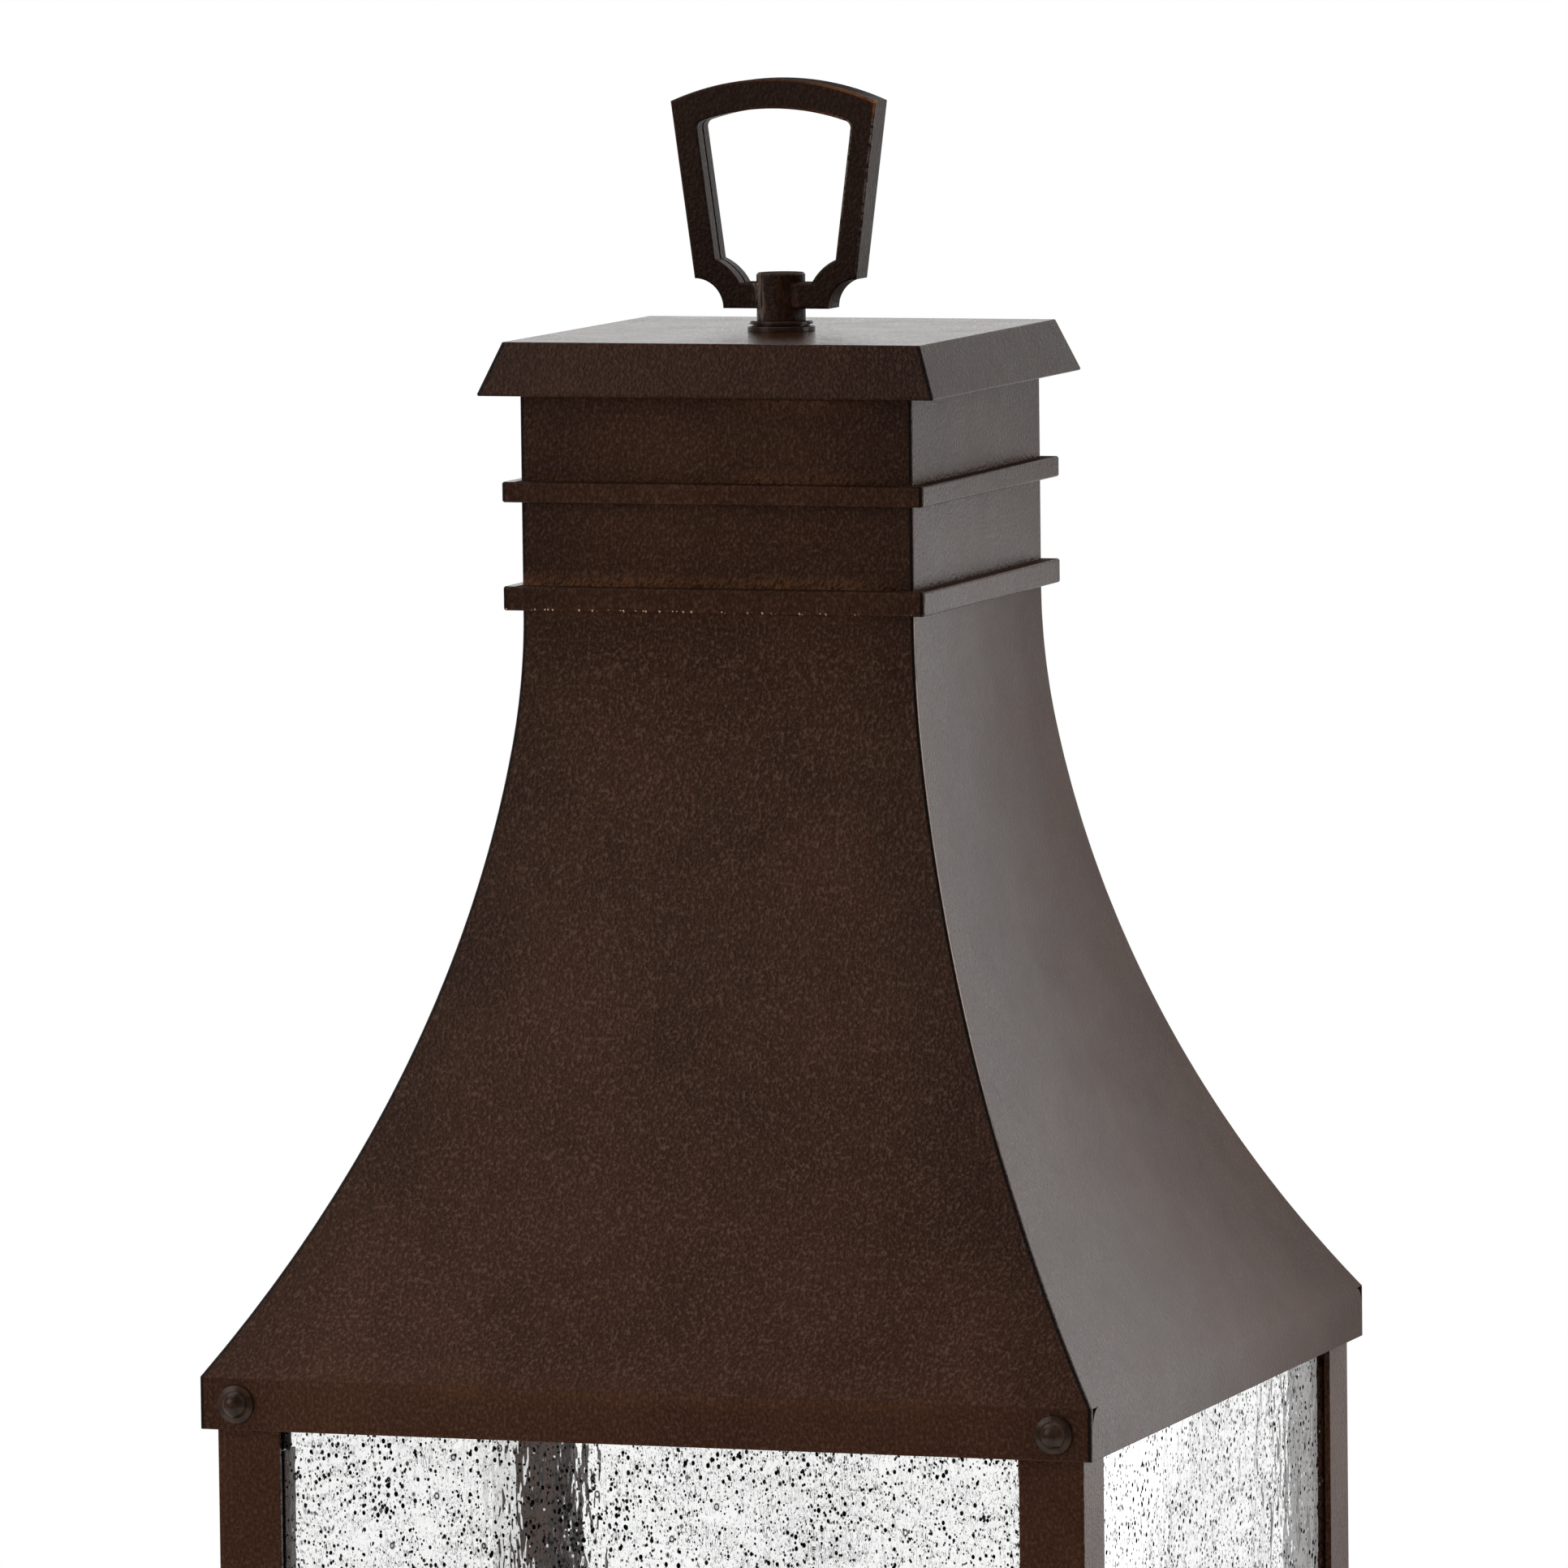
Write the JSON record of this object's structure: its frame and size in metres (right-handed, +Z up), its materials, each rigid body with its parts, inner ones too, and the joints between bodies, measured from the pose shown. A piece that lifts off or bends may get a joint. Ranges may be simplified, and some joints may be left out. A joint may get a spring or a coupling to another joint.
{
  "type": "outdoor pier lamp",
  "caption": "Square pier lantern with a flared lift-off roof, banded neck, cap plate and loop on top, seeded glass panes, a candle-style lamp cluster and a short pedestal.",
  "frame": {"origin": "centre of the underside, where the base cover and the pier plate stand on the pier", "axes": "+Z up along the lamp, -Y the front face, +X to the right as seen from the front"},
  "size_m": [0.254, 0.262, 0.6665],
  "materials": {
    "bronze_paint": "satin, oil-rubbed bronze with a fine sandy grain",
    "seeded_glass": "clear, with small seeds and bubbles",
    "bulb_glass": "clear",
    "bulb_brass": "bright",
    "candle_ivory": "matte",
    "socket_dark": "matte",
    "zinc_steel": "zinc plated",
    "ground_green": "satin"
  },
  "bodies": {
    "lantern": {"top_frame": "bronze_paint", "bottom_frame": "bronze_paint", "glass_clips_upper": "bronze_paint", "glass_clips_lower": "bronze_paint", "corner_post_front_left": "bronze_paint", "corner_post_front_right": "bronze_paint", "corner_post_back_left": "bronze_paint", "corner_post_back_right": "bronze_paint", "glass_pane_front": "seeded_glass", "glass_pane_right": "seeded_glass", "glass_pane_back": "seeded_glass", "glass_pane_left": "seeded_glass", "floor_plate": "bronze_paint", "floor_screws": "bronze_paint", "floor_nuts": "zinc_steel", "body_pan": "bronze_paint", "pedestal_column": "bronze_paint", "pedestal_band": "bronze_paint", "base_cover": "bronze_paint", "base_screws": "bronze_paint", "ground_screw": "ground_green", "pier_plate": "zinc_steel", "centre_pipe": "zinc_steel", "pipe_nuts": "zinc_steel", "pipe_washers": "zinc_steel", "cluster_hub": "bronze_paint", "candle_cups": "bronze_paint", "candle_sleeve_1": "candle_ivory", "candle_sleeve_2": "candle_ivory", "candle_sleeve_3": "candle_ivory", "lamp_socket_1": "socket_dark", "lamp_socket_2": "socket_dark", "lamp_socket_3": "socket_dark"},
    "roof": {"roof_shell": "bronze_paint", "roof_neck": "bronze_paint", "neck_band_lower": "bronze_paint", "neck_band_upper": "bronze_paint", "roof_cap": "bronze_paint", "roof_gussets": "bronze_paint", "handle_collar": "bronze_paint", "handle_rod": "zinc_steel", "roof_crossbar": "zinc_steel", "rod_washer": "zinc_steel", "rod_nut": "zinc_steel", "knob_nuts": "zinc_steel"},
    "handle": {"handle_loop": "bronze_paint"},
    "knob_front_left": {"knob_screw_front_left": "bronze_paint"},
    "knob_front_right": {"knob_screw_front_right": "bronze_paint"},
    "knob_back_left": {"knob_screw_back_left": "bronze_paint"},
    "knob_back_right": {"knob_screw_back_right": "bronze_paint"},
    "bulb_1": {"bulb_base_1": "bulb_brass", "bulb_glass_1": "bulb_glass"},
    "bulb_2": {"bulb_base_2": "bulb_brass", "bulb_glass_2": "bulb_glass"},
    "bulb_3": {"bulb_base_3": "bulb_brass", "bulb_glass_3": "bulb_glass"}
  },
  "joints": [
    {"name": "roof_lift", "type": "slide", "parent": "lantern", "child": "roof", "axis": [0, 0, 1], "range_m": [0, 0.1]},
    {"name": "handle_turn", "type": "hinge", "parent": "roof", "child": "handle", "pos_m": [0, 0, 0.5999], "axis": [0, 0, 1], "continuous": true},
    {"name": "knob_front_left_turn", "type": "hinge", "parent": "roof", "child": "knob_front_left", "pos_m": [-0.1165, -0.127, 0.3121], "axis": [0, -1, 0], "continuous": true},
    {"name": "knob_front_right_turn", "type": "hinge", "parent": "roof", "child": "knob_front_right", "pos_m": [0.1165, -0.127, 0.3121], "axis": [0, -1, 0], "continuous": true},
    {"name": "knob_back_left_turn", "type": "hinge", "parent": "roof", "child": "knob_back_left", "pos_m": [-0.1165, 0.127, 0.3121], "axis": [0, 1, 0], "continuous": true},
    {"name": "knob_back_right_turn", "type": "hinge", "parent": "roof", "child": "knob_back_right", "pos_m": [0.1165, 0.127, 0.3121], "axis": [0, 1, 0], "continuous": true},
    {"name": "bulb_1_turn", "type": "hinge", "parent": "lantern", "child": "bulb_1", "pos_m": [0, 0.031, 0.1632], "axis": [0, 0, 1], "continuous": true},
    {"name": "bulb_2_turn", "type": "hinge", "parent": "lantern", "child": "bulb_2", "pos_m": [-0.02685, -0.0155, 0.1632], "axis": [0, 0, 1], "continuous": true},
    {"name": "bulb_3_turn", "type": "hinge", "parent": "lantern", "child": "bulb_3", "pos_m": [0.02685, -0.0155, 0.1632], "axis": [0, 0, 1], "continuous": true}
  ]
}
